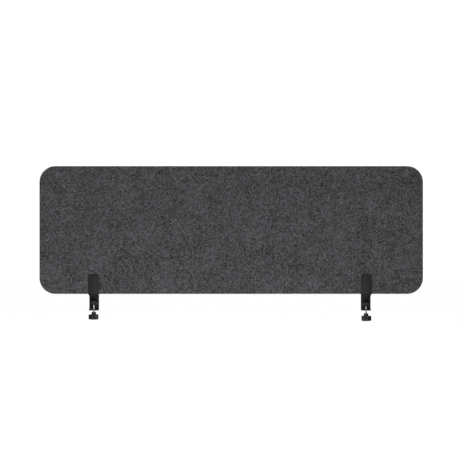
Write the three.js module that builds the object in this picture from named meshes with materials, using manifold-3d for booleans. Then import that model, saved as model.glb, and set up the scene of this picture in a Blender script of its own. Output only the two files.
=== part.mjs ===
// Desk privacy panel: a stiff felt board that stands on two steel screw clamps, which grip a desk's edge.
//
// Millimetres, +Z up. The origin is on the desk's top surface, under the middle of the board. X runs along
// the board, and -Y points at the person who sits at the desk. Each clamp is a steel C that reaches round the
// desk's edge. A channel screwed on top of it holds the board, which a plate and two set screws hold
// tight. A foot on a screw spindle closes the C from below, and a lobed knob turns the spindle.

import * as THREE from 'three';
import { mergeVertices } from 'three/addons/utils/BufferGeometryUtils.js';
import Module from 'manifold-3d';

const wasm = await Module();
wasm.setup();

// ---------------------------------------------------------------------------------------------------------
// Driving dimensions
// ---------------------------------------------------------------------------------------------------------

const touchGap = 0.3; // between pieces that bear on each other across a moving fit
const threadGap = 0.15; // radial, between a screw's crests and the hole that it turns in
const cutMargin = 2; // how far a cutting shape runs past the face that it cuts

const board = { length: 1200, height: 400, thickness: 12, cornerRadius: 50, arris: 1 };

// Each clamp's own setting: how far it stands in from the board's end, the gap it is open to, and which way
// one lobe of its knob points.
const clamps = [
  { name: 'left', endOfBoard: -1, inset: 169.5, opening: 12.6, lobeAngle: Math.PI },
  { name: 'right', endOfBoard: 1, inset: 177.5, opening: 17.1, lobeAngle: 0 },
];

const channel = { width: 33.5, wall: 2, bendRadius: 1.5, grip: 61.6, cornerRadius: 9 };
const frame = {
  width: 30.5,
  wall: 3,
  bendRadius: 2.5,
  openHeight: 42.3, // from the desk's top surface down to the lower arm
  spineSetback: 18, // from the board's middle back to the face that meets the desk's edge
  lowerReach: 30, // from the spine's inner face to the lower arm's front end
  cornerRadius: 4,
};
const deskPad = { thickness: 1.2, sideInset: 1, frontInset: 0.5, depth: 19 };
const holderScrew = {
  diameter: 4,
  headDiameter: 7.5,
  headInset: 0.15,
  socket: 2.5,
  socketDepth: 1.2,
  spacing: 16,
};

const plate = {
  thickness: 2,
  sideInset: 3,
  lowerInset: 3.5,
  upperInset: 6,
  cornerRadius: 3,
  dimpleDepth: 1.2,
};
const setScrew = {
  diameter: 5,
  length: 10,
  dogDiameter: 3,
  dogLength: 1,
  socket: 2.5,
  socketDepth: 3,
  endInset: 12, // from the plate's end to the screw's axis
};
const weldNut = { acrossFlats: 8, height: 4, chamfer: 0.5 };
const jawTravel = 2.3; // how far the plate draws back from the board
const dimpleGap = 0.2; // all round a dog point in its dimple

const footPad = { diameter: 27, thickness: 5, arris: 0.8 };
const footToSpine = 2;
const dish = {
  diameter: 26,
  height: 10.3,
  rim: 4.5,
  hubDiameter: 12,
  cupDiameter: 11,
  cupDepth: 3.5,
  web: 3,
};
const footClip = { diameter: 9.4, thickness: 0.8 };
const spindle = { diameter: 6, spigotDiameter: 4, headAcrossFlats: 10, headHeight: 4, tipChamfer: 0.6 };
const thinnestDesk = 7.8; // the gap left when the knob comes up against the lower arm

const knob = {
  neckDiameter: 14.3,
  neckHeight: 7.5,
  headHeight: 16.2,
  lobes: 5,
  lobeCircle: 12, // radius of the circle that the lobes' centres lie on
  lobeRadius: 4.4,
  valleyRadius: 5,
  edgeRadius: 3,
};
const knobCap = { diameter: 15, thickness: 2, dome: 0.8 };

// ---------------------------------------------------------------------------------------------------------
// Places worked out from the dimensions, in the desk's frame
// ---------------------------------------------------------------------------------------------------------

const armTopZ = deskPad.thickness + frame.wall; // the upper arm's top face, which the channel sits on
const floorTopZ = armTopZ + channel.wall;
const boardBottomZ = floorTopZ + touchGap;
const channelTopZ = boardBottomZ + channel.grip;
const lowerArmTopZ = -frame.openHeight;
const lowerArmBottomZ = lowerArmTopZ - frame.wall;

const boardFrontY = -board.thickness / 2;
const channelFrontY = boardFrontY - touchGap; // the front leg's inner face
const plateFrontY = board.thickness / 2 + touchGap;
const plateBackY = plateFrontY + plate.thickness;
const channelBackY = plateBackY + jawTravel + dimpleGap; // the rear leg's inner face
const nutFrontY = channelBackY + channel.wall;

const spineFrontY = frame.spineSetback;
const spindleY = spineFrontY - footToSpine - footPad.diameter / 2;
const upperArmFrontY = channelFrontY + channel.bendRadius / 2;
const lowerArmFrontY = spineFrontY - frame.lowerReach;

const plateBottomZ = boardBottomZ + plate.lowerInset;
const plateTopZ = channelTopZ - plate.upperInset;
const setScrewHeights = {
  upper: plateTopZ - setScrew.endInset,
  lower: plateBottomZ + setScrew.endInset,
};
const setScrewTipY = plateBackY - setScrew.dogLength;

const holderScrewY = (channelFrontY + channelBackY) / 2;
const holderScrewPlaces = {
  outer: holderScrew.spacing / 2,
  inner: -holderScrew.spacing / 2,
};

// Heights on the spindle are counted from the top of the foot pad, where the desk rests.
const dishTop = -footPad.thickness;
const dishBottom = dishTop - dish.height;
const cupFloor = dishTop - dish.cupDepth;
const webBottom = cupFloor - dish.web;
const spindleShoulder = webBottom - touchGap;
const clipBottom = cupFloor + touchGap;
const spigotTop = clipBottom + footClip.thickness + touchGap;
const neckTop = thinnestDesk - frame.openHeight - frame.wall;
const knobHeadTop = neckTop - knob.neckHeight;
const knobBottom = knobHeadTop - knob.headHeight;
const spindleHeadBottom = knobBottom + knobCap.thickness + touchGap;
const spindleHeadTop = spindleHeadBottom + spindle.headHeight;

// ---------------------------------------------------------------------------------------------------------
// Solid modelling helpers
// ---------------------------------------------------------------------------------------------------------

const roundSides = 32;
const smallRoundSides = 24;
const bendSteps = 5;

/** A closed three.js geometry as a solid that can be joined and cut. */
function solid(geometry) {
  const bare = geometry.clone();
  bare.deleteAttribute('normal');
  bare.deleteAttribute('uv');
  const merged = mergeVertices(bare, 1e-4);
  const corners = merged.index.array;
  const kept = [];
  for (let i = 0; i < corners.length; i += 3) {
    const [a, b, c] = [corners[i], corners[i + 1], corners[i + 2]];
    if (a !== b && b !== c && c !== a) kept.push(a, b, c);
  }
  return new wasm.Manifold(
    new wasm.Mesh({
      numProp: 3,
      vertProperties: Float32Array.from(merged.attributes.position.array),
      triVerts: Uint32Array.from(kept),
    }),
  );
}

/** A solid as a three.js geometry with flat-shaded faces. */
function geometryOf(body) {
  const mesh = body.getMesh();
  const geometry = new THREE.BufferGeometry();
  geometry.setAttribute('position', new THREE.BufferAttribute(mesh.vertProperties, mesh.numProp));
  geometry.setIndex(new THREE.BufferAttribute(mesh.triVerts, 1));
  geometry.computeVertexNormals();
  return geometry;
}

const joined = (first, ...others) => others.reduce((whole, piece) => whole.add(piece), first);
const cut = (body, ...tools) => tools.reduce((rest, tool) => rest.subtract(tool), body);

/** A (y, z) outline drawn out along X, centred on x = 0. */
function drawnAlongX(outline, width) {
  const geometry = new THREE.ExtrudeGeometry(outline, {
    depth: width,
    bevelEnabled: false,
    curveSegments: bendSteps,
  });
  const turn = new THREE.Matrix4().set(0, 0, 1, -width / 2, 1, 0, 0, 0, 0, 1, 0, 0, 0, 0, 0, 1);
  return solid(geometry.applyMatrix4(turn));
}

/** An (x, z) outline drawn out along Y between two faces. */
function drawnAlongY(outline, frontY, backY) {
  const geometry = new THREE.ExtrudeGeometry(outline, {
    depth: backY - frontY,
    bevelEnabled: false,
    curveSegments: bendSteps,
  });
  return solid(geometry.rotateX(Math.PI / 2).translate(0, backY, 0));
}

/** An (x, y) outline drawn out along Z between two heights. */
function drawnAlongZ(outline, bottomZ, topZ) {
  const geometry = new THREE.ExtrudeGeometry(outline, {
    depth: topZ - bottomZ,
    bevelEnabled: false,
    curveSegments: bendSteps,
  });
  return solid(geometry.translate(0, 0, bottomZ));
}

/** A shape turned about Z from [radius, height] points, listed upwards from the axis and back to it. */
function turned(profile, sides = roundSides) {
  const points = profile.map(([radius, height]) => new THREE.Vector2(radius, height));
  return solid(new THREE.LatheGeometry(points, sides).rotateX(Math.PI / 2));
}

/** A plain round bar on Z between two heights. */
function bar(diameter, bottomZ, topZ, sides = smallRoundSides) {
  const radius = diameter / 2;
  return turned([[0, bottomZ], [radius, bottomZ], [radius, topZ], [0, topZ]], sides);
}

/** A six-sided bar on Z, with its flats this far apart. */
function hexBar(acrossFlats, bottomZ, topZ) {
  return bar((2 * acrossFlats) / Math.sqrt(3), bottomZ, topZ, 6);
}

/** A rectangle with a radius for each corner: lower left, lower right, upper right, upper left. */
function roundedRectangle(left, bottom, right, top, radii) {
  const [a, b, c, d] = radii;
  const outline = new THREE.Shape();
  outline.moveTo(left + a, bottom);
  outline.lineTo(right - b, bottom);
  if (b) outline.absarc(right - b, bottom + b, b, -Math.PI / 2, 0, false);
  outline.lineTo(right, top - c);
  if (c) outline.absarc(right - c, top - c, c, 0, Math.PI / 2, false);
  outline.lineTo(left + d, top);
  if (d) outline.absarc(left + d, top - d, d, Math.PI / 2, Math.PI, false);
  outline.lineTo(left, bottom + a);
  if (a) outline.absarc(left + a, bottom + a, a, Math.PI, (3 * Math.PI) / 2, false);
  return outline;
}

/**
 * The section of a strip that is bent at right angles, always the same way.
 * corners runs along the strip's hollow side, from end to end, with sharp corners where it bends.
 */
function bentStrip(corners, wall, bendRadius) {
  const points = corners.map(([y, z]) => new THREE.Vector2(y, z));
  const heading = (i) => points[i + 1].clone().sub(points[i]).normalize();
  const bends = [];
  for (let i = 1; i < points.length - 1; i += 1) {
    const before = heading(i - 1);
    const after = heading(i);
    const centre = points[i].clone().addScaledVector(before, -bendRadius).addScaledVector(after, bendRadius);
    bends.push({
      centre,
      from: Math.atan2(-after.y, -after.x),
      to: Math.atan2(before.y, before.x),
      clockwise: before.cross(after) < 0,
      outwardBefore: after.clone().negate(),
      outwardAfter: before,
    });
  }
  const first = points[0];
  const last = points[points.length - 1];
  const outline = new THREE.Shape();
  outline.moveTo(first.x, first.y);
  for (const bend of bends) {
    const start = bend.outwardBefore.clone().multiplyScalar(bendRadius).add(bend.centre);
    outline.lineTo(start.x, start.y);
    outline.absarc(bend.centre.x, bend.centre.y, bendRadius, bend.from, bend.to, bend.clockwise);
  }
  outline.lineTo(last.x, last.y);
  const lastOutside = last.clone().addScaledVector(bends.at(-1).outwardAfter, wall);
  outline.lineTo(lastOutside.x, lastOutside.y);
  for (const bend of bends.toReversed()) {
    outline.absarc(bend.centre.x, bend.centre.y, bendRadius + wall, bend.to, bend.from, !bend.clockwise);
  }
  const firstOutside = first.clone().addScaledVector(bends[0].outwardBefore, wall);
  outline.lineTo(firstOutside.x, firstOutside.y);
  return outline;
}

/** Lays a solid that was made standing on Z along +Y, with its foot at a place. */
const laidAlongY = (body, y, z) => body.rotate([-90, 0, 0]).translate([0, y, z]);

// ---------------------------------------------------------------------------------------------------------
// The pieces
// ---------------------------------------------------------------------------------------------------------

/** The felt board, with rounded corners and slightly softened edges. */
function feltPanel() {
  const half = board.length / 2;
  const radii = Array(4).fill(board.cornerRadius);
  const outline = roundedRectangle(-half, boardBottomZ, half, boardBottomZ + board.height, radii);
  const geometry = new THREE.ExtrudeGeometry(outline, {
    depth: board.thickness - 2 * board.arris,
    bevelThickness: board.arris,
    bevelSize: board.arris,
    bevelOffset: -board.arris,
    bevelSegments: 1,
    curveSegments: 12,
  });
  return solid(geometry.rotateX(Math.PI / 2).translate(0, board.thickness / 2 - board.arris, 0));
}

/** The steel channel that the board stands in: two tall legs and a floor. */
function panelHolder() {
  const half = channel.width / 2;
  const section = bentStrip(
    [
      [channelFrontY, channelTopZ],
      [channelFrontY, floorTopZ],
      [channelBackY, floorTopZ],
      [channelBackY, channelTopZ],
    ],
    channel.wall,
    channel.bendRadius,
  );
  const silhouette = roundedRectangle(-half, armTopZ - cutMargin, half, channelTopZ, [
    0,
    0,
    channel.cornerRadius,
    channel.cornerRadius,
  ]);
  const front = channelFrontY - channel.wall - cutMargin;
  const back = channelBackY + channel.wall + cutMargin;
  const body = drawnAlongX(section, channel.width).intersect(drawnAlongY(silhouette, front, back));
  const drill = bar(setScrew.diameter + 2 * touchGap, 0, channel.wall + 2 * cutMargin);
  const setScrewHoles = Object.values(setScrewHeights).map((height) =>
    laidAlongY(drill, channelBackY - cutMargin, height),
  );
  const screwHoles = Object.values(holderScrewPlaces).map((x) =>
    countersunk(holderScrew.diameter / 2 + threadGap, holderScrew.headDiameter / 2 + touchGap).translate([
      x,
      holderScrewY,
      floorTopZ,
    ]),
  );
  return cut(body, ...setScrewHoles, ...screwHoles);
}

/** A countersunk hole through the channel's floor, with its mouth at z = 0 and sides at 45 degrees. */
function countersunk(shankRadius, headRadius) {
  const bottom = -channel.wall - cutMargin;
  return turned([
    [0, bottom],
    [shankRadius, bottom],
    [shankRadius, shankRadius - headRadius],
    [headRadius + cutMargin, cutMargin],
    [0, cutMargin],
  ]);
}

/** The steel C that reaches round the desk's edge. */
function clampFrame() {
  const half = frame.width / 2;
  const section = bentStrip(
    [
      [upperArmFrontY, deskPad.thickness],
      [spineFrontY, deskPad.thickness],
      [spineFrontY, lowerArmTopZ],
      [lowerArmFrontY, lowerArmTopZ],
    ],
    frame.wall,
    frame.bendRadius,
  );
  const back = spineFrontY + frame.wall + cutMargin;
  const radii = [frame.cornerRadius, frame.cornerRadius, 0, 0];
  const middle = lowerArmTopZ / 2;
  const upperPlan = roundedRectangle(-half, upperArmFrontY, half, back, radii);
  const lowerPlan = roundedRectangle(-half, lowerArmFrontY, half, back, radii);
  const plan = joined(
    drawnAlongZ(upperPlan, middle, armTopZ + cutMargin),
    drawnAlongZ(lowerPlan, lowerArmBottomZ - cutMargin, middle),
  );
  const screwHoles = Object.values(holderScrewPlaces).map((x) =>
    bar(holderScrew.diameter + 2 * threadGap, 0, armTopZ + cutMargin).translate([x, holderScrewY, 0]),
  );
  const spindleHole = bar(
    spindle.diameter + 2 * threadGap,
    lowerArmBottomZ - cutMargin,
    lowerArmTopZ + cutMargin,
    roundSides,
  ).translate([0, spindleY, 0]);
  return cut(drawnAlongX(section, frame.width).intersect(plan), ...screwHoles, spindleHole);
}

/** The rubber strip under the upper arm, which rests on the desk. */
function deskPadStrip() {
  const half = frame.width / 2 - deskPad.sideInset;
  const front = upperArmFrontY + deskPad.frontInset;
  const corner = frame.cornerRadius - deskPad.frontInset;
  const plan = roundedRectangle(-half, front, half, front + deskPad.depth, [corner, corner, 0, 0]);
  return drawnAlongZ(plan, 0, deskPad.thickness);
}

/** A countersunk screw that holds the channel on the frame. */
function holderScrewBody() {
  const shank = holderScrew.diameter / 2;
  const head = holderScrew.headDiameter / 2;
  const top = floorTopZ - holderScrew.headInset;
  const bottom = deskPad.thickness + touchGap;
  const body = turned(
    [[0, bottom], [shank, bottom], [shank, top - (head - shank)], [head, top], [0, top]],
    smallRoundSides,
  );
  return cut(body, hexBar(holderScrew.socket, top - holderScrew.socketDepth, top + cutMargin));
}

/** The plate that spreads the set screws' load over the board's back. */
function pressurePlate() {
  const half = channel.width / 2 - plate.sideInset;
  const radii = Array(4).fill(plate.cornerRadius);
  const outline = roundedRectangle(-half, plateBottomZ, half, plateTopZ, radii);
  const drill = bar(setScrew.dogDiameter + 2 * dimpleGap, 0, plate.thickness);
  const dimples = Object.values(setScrewHeights).map((height) =>
    laidAlongY(drill, plateBackY - plate.dimpleDepth, height),
  );
  return cut(drawnAlongY(outline, plateFrontY, plateBackY), ...dimples);
}

/** A set screw with a dog point and a hexagon socket, its point at the origin and its socket along +Y. */
function setScrewBody() {
  const radius = setScrew.diameter / 2;
  const dog = setScrew.dogDiameter / 2;
  const shoulder = setScrew.dogLength + dimpleGap;
  const chamfer = radius - dog;
  const body = turned(
    [
      [0, 0],
      [dog, 0],
      [dog, shoulder],
      [radius, shoulder + chamfer / 2],
      [radius, setScrew.length],
      [0, setScrew.length],
    ],
    smallRoundSides,
  );
  const socket = hexBar(setScrew.socket, setScrew.length - setScrew.socketDepth, setScrew.length + cutMargin);
  return laidAlongY(cut(body, socket), 0, 0);
}

/** A hexagon nut welded to the back of the channel, its welded face at the origin. */
function weldNutBody() {
  const across = weldNut.acrossFlats / 2;
  const corner = (2 * across) / Math.sqrt(3);
  const chamfered = turned([
    [0, 0],
    [corner, 0],
    [corner, weldNut.height - weldNut.chamfer],
    [across, weldNut.height],
    [0, weldNut.height],
  ]);
  const bore = bar(setScrew.diameter + 2 * threadGap, -cutMargin, weldNut.height + cutMargin, roundSides);
  return laidAlongY(cut(chamfered.intersect(hexBar(weldNut.acrossFlats, 0, weldNut.height)), bore), 0, 0);
}

/** The rubber disc on top of the foot. */
function footPadBody() {
  const radius = footPad.diameter / 2;
  return turned([
    [0, dishTop],
    [radius, dishTop],
    [radius, -footPad.arris],
    [radius - footPad.arris, 0],
    [0, 0],
  ]);
}

/** The moulded dish under the rubber: a cup for the clip on top, and a socket for the spindle below. */
function footDish() {
  const body = turned([
    [0, dishBottom],
    [dish.hubDiameter / 2, dishBottom],
    [dish.diameter / 2, dishTop - dish.rim],
    [dish.diameter / 2, dishTop],
    [0, dishTop],
  ]);
  const cup = bar(dish.cupDiameter, cupFloor, dishTop + cutMargin, roundSides);
  const hole = bar(spindle.spigotDiameter + 2 * touchGap, webBottom - cutMargin, cupFloor + cutMargin);
  const socket = bar(spindle.diameter + 2 * touchGap, dishBottom - cutMargin, webBottom);
  return cut(body, cup, hole, socket);
}

/** The push-on washer that keeps the dish on the spindle. */
function footClipBody() {
  const top = clipBottom + footClip.thickness;
  const ring = bar(footClip.diameter, clipBottom, top);
  return cut(ring, bar(spindle.spigotDiameter + 2 * threadGap, clipBottom - cutMargin, top + cutMargin));
}

/** The spindle: a hexagon-head screw whose far end is turned down to a spigot for the dish. */
function spindleBody() {
  const radius = spindle.diameter / 2;
  const spigot = spindle.spigotDiameter / 2;
  const shaft = turned(
    [
      [0, spindleHeadBottom],
      [radius, spindleHeadBottom],
      [radius, spindleShoulder],
      [spigot, spindleShoulder],
      [spigot, spigotTop - spindle.tipChamfer],
      [spigot - spindle.tipChamfer, spigotTop],
      [0, spigotTop],
    ],
    smallRoundSides,
  );
  return shaft.add(hexBar(spindle.headAcrossFlats, spindleHeadBottom, spindleHeadTop));
}

/** The knob's outline: round lobes joined by hollow arcs, each tangent to the lobes beside it. */
function lobedOutline() {
  const step = (2 * Math.PI) / knob.lobes;
  const halfGap = knob.lobeCircle * Math.sin(step / 2);
  const between = knob.lobeRadius + knob.valleyRadius;
  const lean = Math.acos(halfGap / between);
  const valleyCircle = knob.lobeCircle * Math.cos(step / 2) + between * Math.sin(lean);
  const outline = new THREE.Shape();
  for (let i = 0; i < knob.lobes; i += 1) {
    const lobeAt = i * step;
    const valleyAt = lobeAt + step / 2;
    // The lobe's arc ends where the line to the next hollow arc's centre crosses it.
    const crossing = valleyAt + Math.PI / 2 - lean;
    const swing = crossing - lobeAt;
    const place = (radius, angle) => [radius * Math.cos(angle), radius * Math.sin(angle)];
    outline.absarc(...place(knob.lobeCircle, lobeAt), knob.lobeRadius, lobeAt - swing, lobeAt + swing, false);
    outline.absarc(
      ...place(valleyCircle, valleyAt),
      knob.valleyRadius,
      crossing + Math.PI,
      2 * valleyAt - crossing + Math.PI,
      true,
    );
  }
  return outline;
}

/** The moulded knob: a lobed head under a round neck, hollowed for the spindle's head and the cap. */
function knobBody() {
  const headGeometry = new THREE.ExtrudeGeometry(lobedOutline(), {
    depth: knob.headHeight - 2 * knob.edgeRadius,
    bevelThickness: knob.edgeRadius,
    bevelSize: knob.edgeRadius,
    bevelOffset: -knob.edgeRadius,
    bevelSegments: 2,
    curveSegments: 5,
  });
  const head = solid(headGeometry.translate(0, 0, knobBottom + knob.edgeRadius));
  const neck = bar(knob.neckDiameter, knobHeadTop - knob.edgeRadius, neckTop, roundSides);
  const capRecess = bar(
    knobCap.diameter + 2 * threadGap,
    knobBottom - cutMargin,
    knobBottom + knobCap.thickness,
    roundSides,
  );
  const headPocket = hexBar(
    spindle.headAcrossFlats + 2 * threadGap,
    knobBottom,
    spindleHeadTop + touchGap,
  );
  const shaftHole = bar(spindle.diameter + 2 * threadGap, knobBottom, neckTop + cutMargin);
  return cut(head.add(neck), capRecess, headPocket, shaftHole);
}

/** The domed cap that closes the knob from below. */
function knobCapBody() {
  const radius = knobCap.diameter / 2;
  return turned(
    [
      [0, knobBottom - knobCap.dome],
      [radius * 0.6, knobBottom - knobCap.dome * 0.7],
      [radius, knobBottom],
      [radius, knobBottom + knobCap.thickness],
      [0, knobBottom + knobCap.thickness],
    ],
    smallRoundSides,
  );
}

// ---------------------------------------------------------------------------------------------------------
// Materials and assembly
// ---------------------------------------------------------------------------------------------------------

/** A plain finish for a piece. */
function finish(color, roughness, metalness) {
  return new THREE.MeshStandardMaterial({ color, roughness, metalness });
}

const felt = finish(0x47474a, 0.95, 0);
const blackSteel = finish(0x26272a, 0.55, 0.3);
const zincSteel = finish(0xb9bcc0, 0.3, 1);
const rubber = finish(0x141415, 0.9, 0);
const darkPlastic = finish(0x2f3032, 0.6, 0);
const knobPlastic = finish(0x1d1e20, 0.45, 0);

const privacyPanel = new THREE.Group();

/** Adds one named piece to a group, and gives the mesh back so that it can be placed. */
function add(group, name, body, material) {
  const mesh = new THREE.Mesh(geometryOf(body), material);
  mesh.name = name;
  group.add(mesh);
  return mesh;
}

add(privacyPanel, 'felt_panel', feltPanel(), felt);

for (const { name, endOfBoard, inset, opening, lobeAngle } of clamps) {
  const clamp = new THREE.Group();
  clamp.position.x = endOfBoard * (board.length / 2 - inset);
  privacyPanel.add(clamp);

  add(clamp, `${name}_panel_holder`, panelHolder(), blackSteel);
  add(clamp, `${name}_clamp_frame`, clampFrame(), blackSteel);
  add(clamp, `${name}_desk_pad`, deskPadStrip(), rubber);
  for (const [place, x] of Object.entries(holderScrewPlaces)) {
    const screw = add(clamp, `${name}_${place}_holder_screw`, holderScrewBody(), zincSteel);
    screw.position.set(endOfBoard * x, holderScrewY, 0);
  }

  add(clamp, `${name}_pressure_plate`, pressurePlate(), blackSteel);
  for (const [place, height] of Object.entries(setScrewHeights)) {
    const nut = add(clamp, `${name}_${place}_weld_nut`, weldNutBody(), blackSteel);
    nut.position.set(0, nutFrontY, height);
    const screw = add(clamp, `${name}_${place}_set_screw`, setScrewBody(), zincSteel);
    screw.position.set(0, setScrewTipY, height);
  }

  const screwSet = new THREE.Group();
  screwSet.position.set(0, spindleY, -opening);
  screwSet.rotation.z = lobeAngle;
  clamp.add(screwSet);
  add(screwSet, `${name}_foot_pad`, footPadBody(), rubber);
  add(screwSet, `${name}_foot_dish`, footDish(), darkPlastic);
  add(screwSet, `${name}_foot_clip`, footClipBody(), zincSteel);
  add(screwSet, `${name}_spindle`, spindleBody(), zincSteel);
  add(screwSet, `${name}_knob`, knobBody(), knobPlastic);
  add(screwSet, `${name}_knob_cap`, knobCapBody(), knobPlastic);
}

export default privacyPanel;
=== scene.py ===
"""Desk privacy panel: a felt board in two steel screw clamps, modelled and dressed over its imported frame.

The frame gives every place. New pieces are modelled in millimetres and brought to the frame's metres when
they are handed over. X runs along the board, -Y points at the person who sits at the desk, and Z is up from
the desk's top surface.
"""

import logging
import math
from collections.abc import Callable, Iterator
from contextlib import contextmanager
from dataclasses import dataclass
from enum import Enum
from functools import cache

import bmesh
import bpy
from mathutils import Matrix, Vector


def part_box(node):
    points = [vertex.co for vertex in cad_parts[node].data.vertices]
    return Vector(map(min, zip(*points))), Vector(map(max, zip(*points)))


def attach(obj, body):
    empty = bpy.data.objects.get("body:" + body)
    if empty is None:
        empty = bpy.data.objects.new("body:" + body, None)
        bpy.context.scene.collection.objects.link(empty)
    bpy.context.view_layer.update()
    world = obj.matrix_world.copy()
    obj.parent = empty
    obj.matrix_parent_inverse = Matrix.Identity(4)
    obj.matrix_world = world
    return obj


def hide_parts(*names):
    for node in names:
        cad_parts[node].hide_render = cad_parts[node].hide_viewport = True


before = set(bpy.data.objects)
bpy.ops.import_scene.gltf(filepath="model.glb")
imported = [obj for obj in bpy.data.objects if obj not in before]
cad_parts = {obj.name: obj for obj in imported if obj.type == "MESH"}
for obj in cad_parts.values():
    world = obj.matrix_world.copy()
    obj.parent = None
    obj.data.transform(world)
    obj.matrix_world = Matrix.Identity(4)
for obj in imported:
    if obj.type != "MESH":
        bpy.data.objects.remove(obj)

Place = tuple[float, float, float]
Colour = tuple[float, float, float]
Span = tuple[float, float]
Profile = list[Span]
Socket = bpy.types.NodeSocket

METRES_PER_MM = 0.001
NEAR = 0.01  # how close to a plane a point counts as on it, in millimetres
OVERRUN = 1.0  # how far a cutting tool runs past the face that it cuts, in millimetres
THREAD_DEPTH = 0.6134  # of a metric thread, as a share of its pitch
FINE_ROUND, PLAIN_ROUND, DRILLED_ROUND = 64, 48, 40  # how many sides round pieces, tools and holes have
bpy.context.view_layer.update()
log = logging.getLogger("desk_panel")


# The bench: blanks that are shaped by hand -------------------


class Part(Enum):
    """What is picked in a mesh."""

    VERTEX = "VERT"
    EDGE = "EDGE"


class Cut(Enum):
    """What a tool does to a blank."""

    TAKE_AWAY = "DIFFERENCE"
    ADD = "UNION"
    KEEP_INSIDE = "INTERSECT"


def deselect_all() -> None:
    """Leaves no object selected."""
    for thing in bpy.context.selected_objects:
        thing.select_set(False)


def centre_of(edge: bmesh.types.BMEdge) -> Vector:
    """The middle of an edge."""
    first, second = edge.verts
    return (first.co + second.co) / 2


def box_mm(node: str) -> tuple[Vector, Vector]:
    """A frame node's lowest and highest corners.

    Args:
        node: The node's name in the frame.

    Returns:
        The two corners, in millimetres.
    """
    low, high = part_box(node)
    return Vector(low) / METRES_PER_MM, Vector(high) / METRES_PER_MM


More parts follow.
